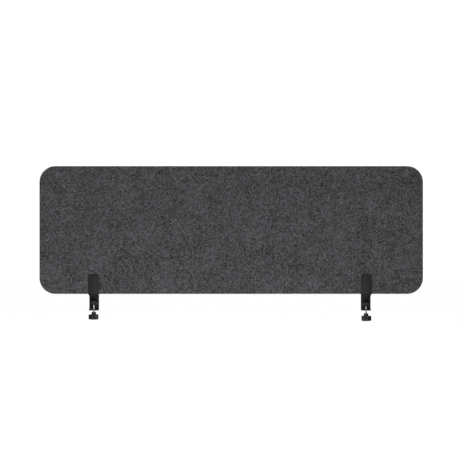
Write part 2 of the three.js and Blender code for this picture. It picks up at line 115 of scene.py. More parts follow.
class Blank:
    """A mesh on the bench, in millimetres: a primitive, then shaped in edit mode and by modifiers."""

    def __init__(self, name: str) -> None:
        """Takes up the primitive that was just added, and fixes its place in its mesh.

        Args:
            name: The piece's name.
        """
        self.body = bpy.context.active_object
        self.body.name = name
        self.body.data.name = name
        bpy.ops.object.transform_apply(location=True, rotation=True, scale=True)

    @classmethod
    def sheet(cls, name: str, low: Place, high: Place) -> "Blank":
        """A flat level rectangle between two corners.

        Args:
            name: The piece's name.
            low: Its lowest corner.
            high: Its highest corner, at the same height.

        Returns:
            The blank, one face that looks up.
        """
        middle = (Vector(low) + Vector(high)) / 2
        deselect_all()
        bpy.ops.mesh.primitive_plane_add(size=1, location=middle)
        bpy.context.active_object.scale = (high[0] - low[0], high[1] - low[1], 1)
        return cls(name)

    @classmethod
    def plate(
        cls,
        name: str,
        low: Place,
        high: Place,
        corner: float,
        steps: int,
        rounded: Callable[[bmesh.types.BMVert], bool] = lambda vertex: True,
    ) -> "Blank":
        """A level slab with round corners.

        Args:
            name: The piece's name.
            low: Its lowest corner.
            high: Its highest corner.
            corner: The corners' radius.
            steps: How many segments each has.
            rounded: Says which corners are rounded.

        Returns:
            The blank.
        """
        blank = cls.sheet(name, low, (high[0], high[1], low[2]))
        with blank.editing():
            blank.pick(Part.VERTEX, rounded)
            blank.round_off(corner, steps, Part.VERTEX)
            blank.pick_all()
            blank.extrude((0, 0, high[2] - low[2]))
        blank.face_outwards()
        return blank

    @classmethod
    def disc(cls, name: str, centre: Place, radius: float, sides: int) -> "Blank":
        """A flat level disc.

        Args:
            name: The piece's name.
            centre: Its middle.
            radius: From its middle to its corners.
            sides: How many corners it has.

        Returns:
            The blank, one face.
        """
        deselect_all()
        bpy.ops.mesh.primitive_circle_add(vertices=sides, radius=radius, fill_type="NGON", location=centre)
        return cls(name)

    @classmethod
    def turned(cls, name: str, profile: Profile, sides: int = FINE_ROUND) -> "Blank":
        """A closed round piece about the Z axis, raised ring by ring from its lowest face.

        Args:
            name: The piece's name.
            profile: The rings, as radius and height, from the first face to the last.
            sides: How many sides each ring has.

        Returns:
            The blank.
        """
        radius, height = profile[0]
        blank = cls.disc(name, (0, 0, height), radius, sides)
        with blank.editing():
            blank.pick_all()
            for next_radius, next_height in profile[1:]:
                blank.extrude((0, 0, next_height - height))
                blank.resize((next_radius / radius, next_radius / radius, 1), (0, 0, next_height))
                radius, height = next_radius, next_height
        blank.face_outwards()
        return blank

    @classmethod
    def prism(cls, name: str, across_flats: float, sides: int, bottom: float, top: float) -> "Blank":
        """A straight bar about the Z axis with flat sides.

        Args:
            name: The piece's name.
            across_flats: The distance between two opposite sides.
            sides: How many sides it has, an even number.
            bottom: Its lowest height.
            top: Its highest height.

        Returns:
            The blank.
        """
        corner = across_flats / 2 / math.cos(math.pi / sides)
        return cls.turned(name, [(corner, bottom), (corner, top)], sides)

    def take_up(self) -> None:
        """Makes the blank the only selected object, and the active one."""
        deselect_all()
        self.body.select_set(True)
        bpy.context.view_layer.objects.active = self.body

    @contextmanager
    def editing(self) -> Iterator[None]:
        """Holds the blank in edit mode."""
        self.take_up()
        bpy.ops.object.mode_set(mode="EDIT")
        yield
        bpy.ops.object.mode_set(mode="OBJECT")

    def pick(self, part: Part, test: Callable[..., bool]) -> None:
        """Selects what passes a test, and nothing else. The blank is in edit mode.

        Args:
            part: Whether vertices or edges are tested.
            test: Says whether one of them is wanted.
        """
        bpy.ops.mesh.select_mode(type=part.value)
        bpy.ops.mesh.select_all(action="DESELECT")
        mesh = bmesh.from_edit_mesh(self.body.data)
        listed = {Part.VERTEX: mesh.verts, Part.EDGE: mesh.edges}[part]
        for element in filter(test, listed):
            element.select_set(True)
        mesh.select_flush_mode()
        bmesh.update_edit_mesh(self.body.data)

    def pick_all(self) -> None:
        """Selects the whole blank. It is in edit mode."""
        bpy.ops.mesh.select_all(action="SELECT")

    def extrude(self, shift: Place) -> None:
        """Extrudes what is selected along a shift."""
        bpy.ops.mesh.extrude_region_move(TRANSFORM_OT_translate={"value": shift})

    def resize(self, factors: Place, about: Place) -> None:
        """Resizes what is selected about a point."""
        bpy.ops.transform.resize(value=factors, center_override=about)

    def set_radii(self, radius_at: Callable[[float], float]) -> None:
        """Sets how far each selected vertex stands from the Z axis.

        Args:
            radius_at: The radius at an angle about the axis, in radians.
        """
        mesh = bmesh.from_edit_mesh(self.body.data)
        for vertex in mesh.verts:
            if vertex.select:
                angle = math.atan2(vertex.co.y, vertex.co.x)
                radius = radius_at(angle)
                vertex.co.x, vertex.co.y = radius * math.cos(angle), radius * math.sin(angle)
        bmesh.update_edit_mesh(self.body.data)

    def round_off(self, width: float, steps: int, part: Part = Part.EDGE) -> None:
        """Bevels the selected edges or corners to arcs.

        Args:
            width: How far back the arc starts.
            steps: How many segments it has.
            part: Whether the edges or the vertices are rounded.
        """
        affect = "VERTICES" if part is Part.VERTEX else "EDGES"
        bpy.ops.mesh.bevel(offset=width, segments=steps, profile=0.5, affect=affect)

    def split(self, at: Place, normal: Place) -> None:
        """Cuts the whole blank along a plane, and keeps both sides."""
        self.pick_all()
        bpy.ops.mesh.bisect(plane_co=at, plane_no=normal)

    def trim(self, at: Place, normal: Place) -> None:
        """Cuts off what lies beyond a plane, and closes the cut."""
        self.pick_all()
        bpy.ops.mesh.bisect(plane_co=at, plane_no=normal, clear_outer=True, use_fill=True)

    def face_outwards(self) -> None:
        """Merges doubled corners, and turns every face of a closed blank outwards."""
        with self.editing():
            self.pick_all()
            bpy.ops.mesh.remove_doubles(threshold=1e-4)
            bpy.ops.mesh.normals_make_consistent(inside=False)

    def modify(self, kind: str, **settings: object) -> None:
        """Adds one modifier and applies it.

        Args:
            kind: The modifier's type.
            **settings: Its settings.
        """
        modifier = self.body.modifiers.new(kind.title(), kind)
        for name, value in settings.items():
            setattr(modifier, name, value)
        self.take_up()
        bpy.ops.object.modifier_apply(modifier=modifier.name)

    def ease_edges(self, width: float, sharper_than: float = 40) -> None:
        """Rounds every edge that turns by more than an angle in degrees."""
        sharp = {"limit_method": "ANGLE", "angle_limit": math.radians(sharper_than)}
        self.modify("BEVEL", width=width, segments=2, use_clamp_overlap=True, **sharp)

    def work(self, cut: Cut, tool: "Blank") -> None:
        """Uses another blank as a tool on this one, and discards it.

        Args:
            cut: What the tool does.
            tool: The other blank.
        """
        self.modify("BOOLEAN", operation=cut.value, object=tool.body, solver="EXACT")
        bpy.data.objects.remove(tool.body)

    def turn_away(self, profile: Profile, sides: int = DRILLED_ROUND) -> None:
        """Cuts a round hole about the Z axis, given as radius and height from below to above."""
        self.work(Cut.TAKE_AWAY, Blank.turned("core", profile, sides))

    def turn_down(self, profile: Profile, sides: int = PLAIN_ROUND) -> None:
        """Keeps only what lies inside a round outline about the Z axis, given in the same way."""
        self.work(Cut.KEEP_INSIDE, Blank.turned("envelope", profile, sides))

    def lay_along_y(self) -> None:
        """Turns a blank that stands on the Z axis so that it points along +Y."""
        self.place((0, 0, 0), (-math.pi / 2, 0, 0))

    def stand_up(self, back: float) -> None:
        """Turns a level slab to stand upright, with its underside at a place along Y."""
        self.place((0, back, 0), (math.pi / 2, 0, 0))

    def move(self, shift: Place) -> None:
        """Moves the whole blank."""
        self.place(shift, (0, 0, 0))

    def turn(self, angle: float) -> None:
        """Turns the whole blank about the Z axis, in radians."""
        self.place((0, 0, 0), (0, 0, angle))

    def place(self, shift: Place, turn: Place, scale: float = 1) -> None:
        """Scales, turns and moves the whole blank, in its mesh.

        Args:
            shift: How far it moves.
            turn: How far it turns about each axis, in radians.
            scale: How much larger it grows.
        """
        self.body.scale = (scale,) * 3
        self.body.rotation_euler = turn
        self.body.location = shift
        self.take_up()
        bpy.ops.object.transform_apply(location=True, rotation=True, scale=True)

    def smooth(self, up_to: float = 35) -> None:
        """Shades the blank smooth across edges that turn by less than an angle in degrees."""
        self.take_up()
        bpy.ops.object.shade_smooth_by_angle(angle=math.radians(up_to))

    def hand_over(self, node: str, body: str, slot: str, material: bpy.types.Material) -> None:
        """Finishes the piece: brings it to metres, dresses it and ties it to the frame.

        Args:
            node: The frame node that it stands for.
            body: The frame body that it moves with.
            slot: The record's material slot. Not used.
            material: Its finish.
        """
        self.place((0, 0, 0), (0, 0, 0), METRES_PER_MM)
        self.smooth()
        self.body.data.materials.clear()
        self.body.data.materials.append(material)
        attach(self.body, body)
        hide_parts(node)
        log.info("%s: %d faces, on %s", self.body.name, len(self.body.data.polygons), body)


def threaded_rod(name: str, diameter: float, pitch: float, bottom: float, top: float) -> Blank:
    """A rod about the Z axis with a right-hand helical thread, flat at both ends.

    Args:
        name: The piece's name.
        diameter: Over the thread's crests.
        pitch: From crest to crest.
        bottom: Its lowest height.
        top: Its highest height.

    Returns:
        The blank.
    """
    crest = diameter / 2
    root = crest - THREAD_DEPTH * pitch
    flat, flank = pitch / 8, 3 * pitch / 8
    overrun = 2  # turns of thread past each end, trimmed off below
    deselect_all()
    bpy.ops.mesh.primitive_plane_add(size=1)
    blank = Blank(name)
    with blank.editing():
        blank.pick_all()
        bpy.ops.mesh.merge(type="CENTER")
        bpy.ops.transform.translate(value=(root, 0, bottom - overrun * pitch))
        for _ in range(math.ceil((top - bottom) / pitch) + 2 * overrun):
            blank.extrude((0, 0, flat))
            blank.extrude((crest - root, 0, flank))
            blank.extrude((0, 0, flat))
            blank.extrude((root - crest, 0, flank))
    around = {"angle": 2 * math.pi, "steps": 24, "render_steps": 24}
    blank.modify("SCREW", axis="Z", screw_offset=pitch, use_smooth_shade=True, **around)
    blank.face_outwards()
    with blank.editing():
        blank.trim((0, 0, top), (0, 0, 1))
        blank.trim((0, 0, bottom), (0, 0, -1))
    blank.face_outwards()
    return blank


# Finishes ----------------------------------------------------


class Recipe:
    """The node tree of one finish, laid out on Object coordinates."""

    def __init__(self, name: str) -> None:
        """Starts a material.

        Args:
            name: The material's name.
        """
        self.material = bpy.data.materials.new(name)
        self.material.use_nodes = True
        self.tree = self.material.node_tree
        self.surface = self.tree.nodes["Principled BSDF"]
        self.place = self.tree.nodes.new("ShaderNodeTexCoord").outputs["Object"]

    def constant(self, **values: object) -> None:
        """Sets sockets of the surface, with spaces in their names written as underscores."""
        for name, value in values.items():
            self.surface.inputs[name.replace("_", " ")].default_value = value

    def feed(self, socket: str, source: Socket) -> None:
        """Links values to a socket of the surface."""
        self.tree.links.new(source, self.surface.inputs[socket])

    def add(self, kind: str, inputs: dict[str | int, object], **settings: str) -> bpy.types.Node:
        """Adds a node.

        Args:
            kind: Its type, after the word ShaderNode.
            inputs: What each of its inputs gets: a value, or another node's output.
            **settings: The node's own settings.

        Returns:
            The node.
        """
        node = self.tree.nodes.new(f"ShaderNode{kind}")
        for name, value in settings.items():
            setattr(node, name, value)
        for key, value in inputs.items():
            if isinstance(value, Socket):
                self.tree.links.new(value, node.inputs[key])
            else:
                node.inputs[key].default_value = value
        return node

    def grain(
        self,
        scale: float,
        detail: float = 3,
        roughness: float = 0.5,
        stretch: Place = (1, 1, 1),
        turn: Place = (0, 0, 0),
        place: Socket | None = None,
    ) -> Socket:
        """Soft random grain.

        Args:
            scale: How many grains there are to a metre.
            detail: How many finer layers it has.
            roughness: How strong the finer layers are.
            stretch: How much longer it is along each axis.
            turn: How it is turned about each axis, in degrees.
            place: Where it is laid, if not straight on the object.

        Returns:
            The grain, from 0 to 1 about a mean of a half.
        """
        laid = {"Vector": place or self.place, "Scale": stretch}
        laid["Rotation"] = [math.radians(angle) for angle in turn]
        mapping = self.add("Mapping", laid, vector_type="TEXTURE")
        look = {"Scale": scale, "Detail": detail, "Roughness": roughness}
        return self.add("TexNoise", {"Vector": mapping.outputs["Vector"], **look}).outputs["Fac"]

    def bend(self, scale: float, reach: float) -> Socket:
        """Bends the object's coordinates, so that straight grain laid on them wanders.

        Args:
            scale: How many bends there are to a metre.
            reach: How far they go, in metres.

        Returns:
            The bent coordinates.
        """
        noise = self.add("TexNoise", {"Vector": self.place, "Scale": scale, "Detail": 1})
        terms = {0: noise.outputs["Color"], 1: (reach,) * 3, 2: self.place}
        return self.add("VectorMath", terms, operation="MULTIPLY_ADD").outputs["Vector"]

    def spread(self, source: Socket, between: Span, onto: Span) -> Socket:
        """Stretches a range of values onto another, and stops at its ends.

        Args:
            source: The values.
            between: The range that is taken.
            onto: The range that it becomes.

        Returns:
            The new values.
        """
        ends = zip(("From Min", "From Max", "To Min", "To Max"), (*between, *onto))
        return self.add("MapRange", {"Value": source, **dict(ends)}).outputs["Result"]

    def mix(self, amount: Socket, first: Colour | Socket, second: Colour) -> Socket:
        """Goes from one colour to another.

        Args:
            amount: 0 for the first colour and 1 for the second.
            first: A colour, or another mix.
            second: A colour.

        Returns:
            The mixed colour.
        """
        start = first if isinstance(first, Socket) else (*first, 1)
        return self.add("Mix", {0: amount, 6: start, 7: (*second, 1)}, data_type="RGBA").outputs[2]

    def weigh(self, *parts: tuple[Socket, float]) -> Socket:
        """Adds values up by weight.

        Args:
            *parts: Each value with its weight.

        Returns:
            The sum.
        """
        total = 0
        for source, weight in parts:
            terms = {0: source, 1: weight, 2: total}
            total = self.add("Math", terms, operation="MULTIPLY_ADD").outputs["Value"]
        return total

    def tint(self, pattern: Socket, between: Span, first: Colour, second: Colour) -> None:
        """Colours the surface, from one colour to another over a range of a pattern."""
        self.feed("Base Color", self.mix(self.spread(pattern, between, (0, 1)), first, second))

    def dull(self, pattern: Socket, roughness: Span) -> None:
        """Varies the surface's roughness between two values with a pattern."""
        self.feed("Roughness", self.spread(pattern, (0.3, 0.7), roughness))

    def bump(self, height: Socket, depth: float, strength: float = 1) -> None:
        """Adds relief to the surface, on top of any that it has.

        Args:
            height: The relief, from 0 to 1.
            depth: How deep it is, in metres.
            strength: How much of it shows.
        """
        inputs = {"Height": height, "Distance": depth, "Strength": strength}
        under = self.surface.inputs["Normal"]
        if under.is_linked:
            inputs["Normal"] = under.links[0].from_socket
        self.feed("Normal", self.add("Bump", inputs).outputs["Normal"])


@dataclass(frozen=True)
class PressedFelt:
    """Grey felt board of mixed dark and light fibres, needled flat, so it is mottled and has no weave."""

    slot: str = "felt"
    deep: Colour = (0.0100, 0.0100, 0.0110)
    pale: Colour = (0.138, 0.138, 0.146)
    contrast: Span = (0.432, 0.672)
    clouds_per_metre: float = 13
    clumps_per_metre: float = 78
    lint_per_metre: float = 215
    clump_depth: float = 0.0005
    lint_depth: float = 0.00025
    dark_fibre: Colour = (0.017, 0.017, 0.018)
    light_fibre: Colour = (0.218, 0.218, 0.228)
    fibres_per_metre: float = 900
    fibre_stretch: float = 9
    fibre_leans: tuple[float, ...] = (8, 39, 71, 98, 127, 160)
    fibre_contrast: Span = (0.56, 0.70)
    fibre_cover: float = 0.6
    fibre_depth: float = 0.00008
    tangle_per_metre: float = 70
    tangle_reach: float = 0.008
    sheen: float = 0.08

    @cache
    def material(self) -> bpy.types.Material:
        """Makes the finish."""
        recipe = Recipe("pressed_felt")
        clouds = recipe.grain(self.clouds_per_metre, detail=2)
        clumps = recipe.grain(self.clumps_per_metre, detail=2, roughness=0.6)
        lint = recipe.grain(self.lint_per_metre, detail=3, roughness=0.6)
        tone = recipe.weigh((clouds, 0.15), (clumps, 0.22), (lint, 0.63))
        colour = recipe.mix(recipe.spread(tone, self.contrast, (0, 1)), self.deep, self.pale)
        tangle = recipe.bend(self.tangle_per_metre, self.tangle_reach)
        stretch = (self.fibre_stretch, 1, 1)
        for lean, shade in zip(self.fibre_leans, (self.light_fibre, self.dark_fibre) * 3):
            fibres = recipe.grain(self.fibres_per_metre, 1, stretch=stretch, turn=(0, lean, 0), place=tangle)
            cover = recipe.spread(fibres, self.fibre_contrast, (0, self.fibre_cover))
            colour = recipe.mix(cover, colour, shade)
            recipe.bump(fibres, self.fibre_depth, strength=0.6)
        recipe.feed("Base Color", colour)
        recipe.bump(clumps, self.clump_depth, strength=0.7)
        recipe.bump(lint, self.lint_depth, strength=0.7)
        recipe.constant(Roughness=1.0, Sheen_Weight=self.sheen, Sheen_Roughness=0.6, Specular_IOR_Level=0.12)
        return recipe.material


@dataclass(frozen=True)
class PowderCoat:
    """Black fine-texture powder coat on steel."""

    slot: str = "black_steel"
    colour: Colour = (0.0064, 0.0064, 0.0083)
    dusted: Colour = (0.0120, 0.0120, 0.0143)
    patches_per_metre: float = 60
    texture_per_metre: float = 2600
    texture_depth: float = 0.00009

    @cache
    def material(self) -> bpy.types.Material:
        """Makes the finish."""
        recipe = Recipe("black_powder_coat")
        texture = recipe.grain(self.texture_per_metre, detail=2)
        recipe.tint(texture, (0.4, 0.75), self.colour, self.dusted)
        recipe.dull(recipe.grain(self.patches_per_metre, detail=3), (0.50, 0.57))
        recipe.bump(texture, self.texture_depth, strength=0.7)
        recipe.constant(Specular_IOR_Level=0.32)
        return recipe.material


@dataclass(frozen=True)
class ZincPlate:
    """Bright zinc plate on a steel fastener."""

    slot: str = "zinc_steel"
    colour: Colour = (0.93, 0.93, 0.94)
    clouded: Colour = (0.80, 0.81, 0.83)
    clouds_per_metre: float = 420
    scuffs_per_metre: float = 5000
    scuff_depth: float = 0.00001

    @cache
    def material(self) -> bpy.types.Material:
        """Makes the finish."""
        recipe = Recipe("zinc_plate")
        clouds = recipe.grain(self.clouds_per_metre, detail=4, roughness=0.6)
        recipe.tint(clouds, (0.35, 0.7), self.colour, self.clouded)
        recipe.dull(clouds, (0.2, 0.34))
        recipe.bump(recipe.grain(self.scuffs_per_metre, detail=1), self.scuff_depth, strength=0.5)
        recipe.constant(Metallic=1.0)
        return recipe.material


@dataclass(frozen=True)
class SoftRubber:
    """Matt black moulded rubber."""

    slot: str = "rubber"
    colour: Colour = (0.0045, 0.0045, 0.0048)
    bloom: Colour = (0.0100, 0.0100, 0.0105)
    bloom_per_metre: float = 260
    texture_per_metre: float = 3200
    texture_depth: float = 0.00006

    @cache
    def material(self) -> bpy.types.Material:
        """Makes the finish."""
        recipe = Recipe("soft_rubber")
        bloom = recipe.grain(self.bloom_per_metre, detail=4, roughness=0.65)
        recipe.tint(bloom, (0.4, 0.7), self.colour, self.bloom)
        recipe.dull(bloom, (0.75, 0.92))
        recipe.bump(recipe.grain(self.texture_per_metre, detail=2), self.texture_depth, strength=0.6)
        recipe.constant(Specular_IOR_Level=0.2)
        return recipe.material


@dataclass(frozen=True)
class MouldedPlastic:
    """Spark-textured moulded plastic."""

    slot: str
    colour: Colour
    worn: Colour
    roughness: Span
    flow_per_metre: float = 140
    texture_per_metre: float = 3000
    texture_depth: float = 0.00004

    @cache
    def material(self) -> bpy.types.Material:
        """Makes the finish."""
        recipe = Recipe(self.slot)
        flow = recipe.grain(self.flow_per_metre, detail=3)
        recipe.tint(flow, (0.35, 0.7), self.colour, self.worn)
        recipe.dull(flow, self.roughness)
        recipe.bump(recipe.grain(self.texture_per_metre, detail=2), self.texture_depth, strength=0.6)
        return recipe.material


Finish = PressedFelt | PowderCoat | ZincPlate | SoftRubber | MouldedPlastic

FELT = PressedFelt()
POWDER_COAT = PowderCoat()
ZINC = ZincPlate()
RUBBER = SoftRubber()
DISH_PLASTIC = MouldedPlastic("dish_plastic", (0.021, 0.021, 0.021), (0.030, 0.030, 0.030), (0.5, 0.62))
KNOB_PLASTIC = MouldedPlastic("knob_plastic", (0.012, 0.012, 0.013), (0.018, 0.018, 0.019), (0.34, 0.46))


# The felt board ----------------------------------------------


@dataclass
class FeltBoard:
    """The stiff felt board, with round corners and softened edges."""

    node: str = "felt_panel"
    corner_radius: float = 50
    arris: float = 1.0
    relief_spacing: float = 6.0
    relief_depth: float = 0.22
    relief_swell: float = 16

    def build(self) -> None:
        """Models the board and dresses it."""
        low, high = box_mm(self.node)
        front, back = low.y, high.y
        corners = (low.x, low.z, 0), (high.x, high.z, back - front)
        blank = Blank.plate("felt_board", *corners, self.corner_radius, 16)
        with blank.editing():
            blank.pick(Part.EDGE, lambda edge: edge.calc_face_angle(0) > 1)
            blank.round_off(self.arris, 3)
            for axis, start, end in ((0, low.x, high.x), (1, low.z, high.z)):
                count = round((end - start) / self.relief_spacing)
                for step in range(1, count):
                    at, normal = [0.0, 0.0, 0.0], [0.0, 0.0, 0.0]
                    at[axis] = start + (end - start) * step / count
                    normal[axis] = 1.0
                    blank.split(at, normal)
        blank.stand_up(back)
        self.add_relief(blank, front, back)
        blank.hand_over(self.node, "panel", FELT.slot, FELT.material())

    def add_relief(self, blank: Blank, front: float, back: float) -> None:
        """Makes the two faces gently uneven, inside the board's thickness.

        Args:
            blank: The board.
            front: The front face's place along Y.
            back: The back face's place along Y.
        """
        clouds = bpy.data.textures.new("felt_relief", "CLOUDS")
        clouds.noise_scale = self.relief_swell
        clouds.noise_depth = 3
        faces = blank.body.vertex_groups.new(name="faces")
        on_faces = [v.index for v in blank.body.data.vertices if min(v.co.y - front, back - v.co.y) < 1e-3]
        faces.add(on_faces, 1.0, "REPLACE")
        sunk = {"strength": -self.relief_depth, "mid_level": 0.0, "vertex_group": "faces"}
        blank.modify("DISPLACE", texture=clouds, texture_coords="LOCAL", **sunk)


# The clamps --------------------------------------------------


class Side(Enum):
    """Which of the two clamps a piece belongs to."""

    LEFT = "left"
    RIGHT = "right"


@dataclass
class Assembly:
    """What the assemblies of a clamp share: its places, and how pieces are named and handed over."""

    side: Side

    def named(self, part: str) -> str:
        """The full name of one of this clamp's nodes, bodies or pieces."""
        return f"{self.side.value}_{part}"

    def box(self, part: str) -> tuple[Vector, Vector]:
        """The lowest and highest corners of one of this clamp's nodes, in millimetres."""
        return box_mm(self.named(part))

    def centre_x(self) -> float:
        """The middle of this clamp along the board, in millimetres."""
        low, high = self.box("clamp_frame")
        return (low.x + high.x) / 2

    def spindle_foot(self) -> Place:
        """The point on the spindle's axis that is level with the desk's top, in millimetres."""
        low, high = self.box("foot_pad")
        return (low.x + high.x) / 2, (low.y + high.y) / 2, 0

    def set_screw_heights(self) -> dict[str, float]:
        """How high the upper and the lower set screw stand, in millimetres."""
        boxes = {level: self.box(f"{level}_set_screw") for level in ("upper", "lower")}
        return {level: (low.z + high.z) / 2 for level, (low, high) in boxes.items()}

    def give(self, blank: Blank, part: str, body: str, finish: Finish) -> None:
        """Hands a piece over to a node and a body of this clamp, in a finish."""
        blank.hand_over(self.named(part), self.named(body), finish.slot, finish.material())

    def give_on_axis(self, blank: Blank, part: str, body: str, finish: Finish) -> None:
        """Stands a piece on the spindle's axis, and hands it over."""
        blank.move(self.spindle_foot())
        self.give(blank, part, body, finish)

    def dress(self, part: str, finish: Finish) -> None:
        """Gives a finish to one of this clamp's nodes that keeps its own shape."""
        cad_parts[self.named(part)].material_slots[0].material = finish.material()

    def drill_from_behind(self, blank: Blank, diameter: float, sides: int, span: Span, place: Span) -> None:
        """Drills a round hole along Y, on the line of the set screws.

        Args:
            blank: What is drilled.
            diameter: The hole's diameter.
            sides: How many sides it has.
            span: The hole's ends along Y, counted from its place.
            place: The hole's place, as y and z.
        """
        drill = Blank.prism("drill", diameter, sides, *span)
        drill.lay_along_y()
        drill.move((self.centre_x(), *place))
        blank.work(Cut.TAKE_AWAY, drill)


@dataclass
class ClampBody(Assembly):
    """The fixed steel of one clamp: the channel for the board, the C frame, the desk strip and weld nuts."""

    channel_wall: float = 2.0
    channel_bend: float = 1.5
    channel_corner: float = 9.0
    frame_wall: float = 3.0
    frame_bend: float = 2.5
    frame_corner: float = 4.0
    rim: float = 0.5
    set_screw_hole: float = 5.6
    spindle_hole: float = 6.3
    screw_hole: float = 4.3
    screw_head: float = 8.1
    nut_flats: float = 8.0
    nut_bore: float = 5.3
    nut_chamfer: float = 0.5
    strip_corner: float = 3.5
    strip_rim: float = 0.2
    groove_depth: float = 0.4
    grooves: int = 5

    def build(self) -> None:
        """Models the five pieces and dresses the two holder screws."""
        self.build_channel()
        self.build_frame()
        self.build_strip()
        for level, height in self.set_screw_heights().items():
            self.build_nut(level, height)
        for place in ("outer", "inner"):
            self.dress(f"{place}_holder_screw", ZINC)

    def build_channel(self) -> None:
        """Models the channel that the board stands in, bent from one strip of sheet."""
        low, high = self.box("panel_holder")
        half_wall = self.channel_wall / 2
        front, back = low.y + half_wall, high.y - half_wall
        floor = low.z + half_wall
        blank = Blank.sheet(self.named("channel"), (low.x, front, floor), (high.x, back, floor))
        with blank.editing():
            for leg in (front, back):
                blank.pick(Part.EDGE, lambda edge: abs(centre_of(edge).y - leg) < NEAR and edge.is_boundary)
                blank.extrude((0, 0, high.z - floor))
            blank.pick(Part.EDGE, lambda edge: len(edge.link_faces) == 2)
            blank.round_off(self.channel_bend + half_wall, 6)
            blank.pick(Part.VERTEX, lambda vertex: vertex.co.z > high.z - NEAR)
            blank.round_off(self.channel_corner, 8, Part.VERTEX)
        self.thicken(blank, self.channel_wall)
        reach = self.channel_wall + OVERRUN
        for height in self.set_screw_heights().values():
            self.drill_from_behind(blank, self.set_screw_hole, DRILLED_ROUND, (-reach, reach), (back, height))
        shank, head, top = self.screw_hole / 2, self.screw_head / 2, low.z + self.channel_wall
        seat = [(shank, low.z - OVERRUN), (shank, top - head + shank), (head, top), (head, top + OVERRUN)]
        self.drill_screw_seats(blank, seat)
        self.give(blank, "panel_holder", "clamp", POWDER_COAT)

    def build_frame(self) -> None:
        """Models the C that reaches round the desk's edge, bent from one strip of sheet."""
        low, high = self.box("clamp_frame")
        channel_low, _ = self.box("panel_holder")
        half_wall = self.frame_wall / 2
        arm_front = channel_low.y + self.channel_wall + self.channel_bend / 2
        spine, top, bottom = high.y - half_wall, high.z - half_wall, low.z + half_wall
        blank = Blank.sheet(self.named("c_frame"), (low.x, arm_front, top), (high.x, spine, top))
        with blank.editing():
            blank.pick(Part.EDGE, lambda edge: abs(centre_of(edge).y - spine) < NEAR)
            blank.extrude((0, 0, bottom - top))
            blank.pick(Part.EDGE, lambda edge: abs(centre_of(edge).z - bottom) < NEAR)
            blank.extrude((0, low.y - spine, 0))
            blank.pick(Part.EDGE, lambda edge: len(edge.link_faces) == 2)
            blank.round_off(self.frame_bend + half_wall, 8)
            fronts = arm_front, low.y
            blank.pick(Part.VERTEX, lambda vertex: min(abs(vertex.co.y - front) for front in fronts) < NEAR)
            blank.round_off(self.frame_corner, 6, Part.VERTEX)
        self.thicken(blank, self.frame_wall)
        reach = self.frame_wall + OVERRUN
        drill = Blank.prism("drill", self.spindle_hole, DRILLED_ROUND, bottom - reach, bottom + reach)
        drill.move(self.spindle_foot())
        blank.work(Cut.TAKE_AWAY, drill)
        shank = self.screw_hole / 2
        seat = [(shank, high.z - self.frame_wall - OVERRUN), (shank, high.z + OVERRUN)]
        self.drill_screw_seats(blank, seat)
        self.give(blank, "clamp_frame", "clamp", POWDER_COAT)

    def drill_screw_seats(self, blank: Blank, seat: Profile) -> None:
        """Cuts the round seats of the two holder screws.

        Args:
            blank: The channel or the frame.
            seat: One seat's rings, as radius and height, from below to above.
        """
        for place in ("outer", "inner"):
            low, high = self.box(f"{place}_holder_screw")
            cutter = Blank.turned("cutter", seat, DRILLED_ROUND)
            cutter.move(((low.x + high.x) / 2, (low.y + high.y) / 2, 0))
            blank.work(Cut.TAKE_AWAY, cutter)

    def thicken(self, blank: Blank, wall: float) -> None:
        """Gives a bent sheet its wall, half on each side, and eases its rims.

        Args:
            blank: The sheet.
            wall: Its thickness.
        """
        blank.face_outwards()
        blank.modify("SOLIDIFY", thickness=wall, offset=0, use_even_offset=True)
        blank.face_outwards()
        blank.ease_edges(self.rim)

    def build_strip(self) -> None:
        """Models the rubber strip on the desk, with shallow grooves underneath."""
        low, high = self.box("desk_pad")
        blank = Blank.plate(
            self.named("desk_strip"),
            low,
            high,
            self.strip_corner,
            steps=6,
            rounded=lambda vertex: vertex.co.y < low.y + NEAR,
        )
        blank.ease_edges(self.strip_rim)
        pace = (high.y - low.y) / (self.grooves + 1)
        for number in range(1, self.grooves + 1):
            groove = Blank.prism("groove", self.groove_depth * 2, 8, low.x - OVERRUN, high.x + OVERRUN)
            groove.place((0, low.y + number * pace, low.z), (0, math.pi / 2, 0))
            blank.work(Cut.TAKE_AWAY, groove)
        self.give(blank, "desk_pad", "clamp", RUBBER)

    def build_nut(self, level: str, height: float) -> None:
        """Models one weld nut on the back of the channel.

        Args:
            level: Whether it is the upper or the lower one.
            height: Its height.
        """
        low, high = self.box(f"{level}_weld_nut")
        tall = high.y - low.y
        chamfered = tall - self.nut_chamfer
        across = self.nut_flats / 2
        beyond = across / math.cos(math.pi / 6) + 0.01
        blank = Blank.prism(self.named(f"{level}_hex_nut"), self.nut_flats, 6, 0, tall)
        crown = [(beyond, -OVERRUN), (beyond, chamfered), (across, tall), (across, tall + 0.01)]
        blank.turn_down(crown, FINE_ROUND)
        radius = self.nut_bore / 2
        mouth = radius + self.nut_chamfer
        bore = [(radius, -OVERRUN), (radius, chamfered), (mouth, tall), (mouth, tall + OVERRUN)]
        blank.turn_away(bore)
        blank.lay_along_y()
        blank.move((self.centre_x(), low.y, height))
        self.give(blank, f"{level}_weld_nut", "clamp", POWDER_COAT)


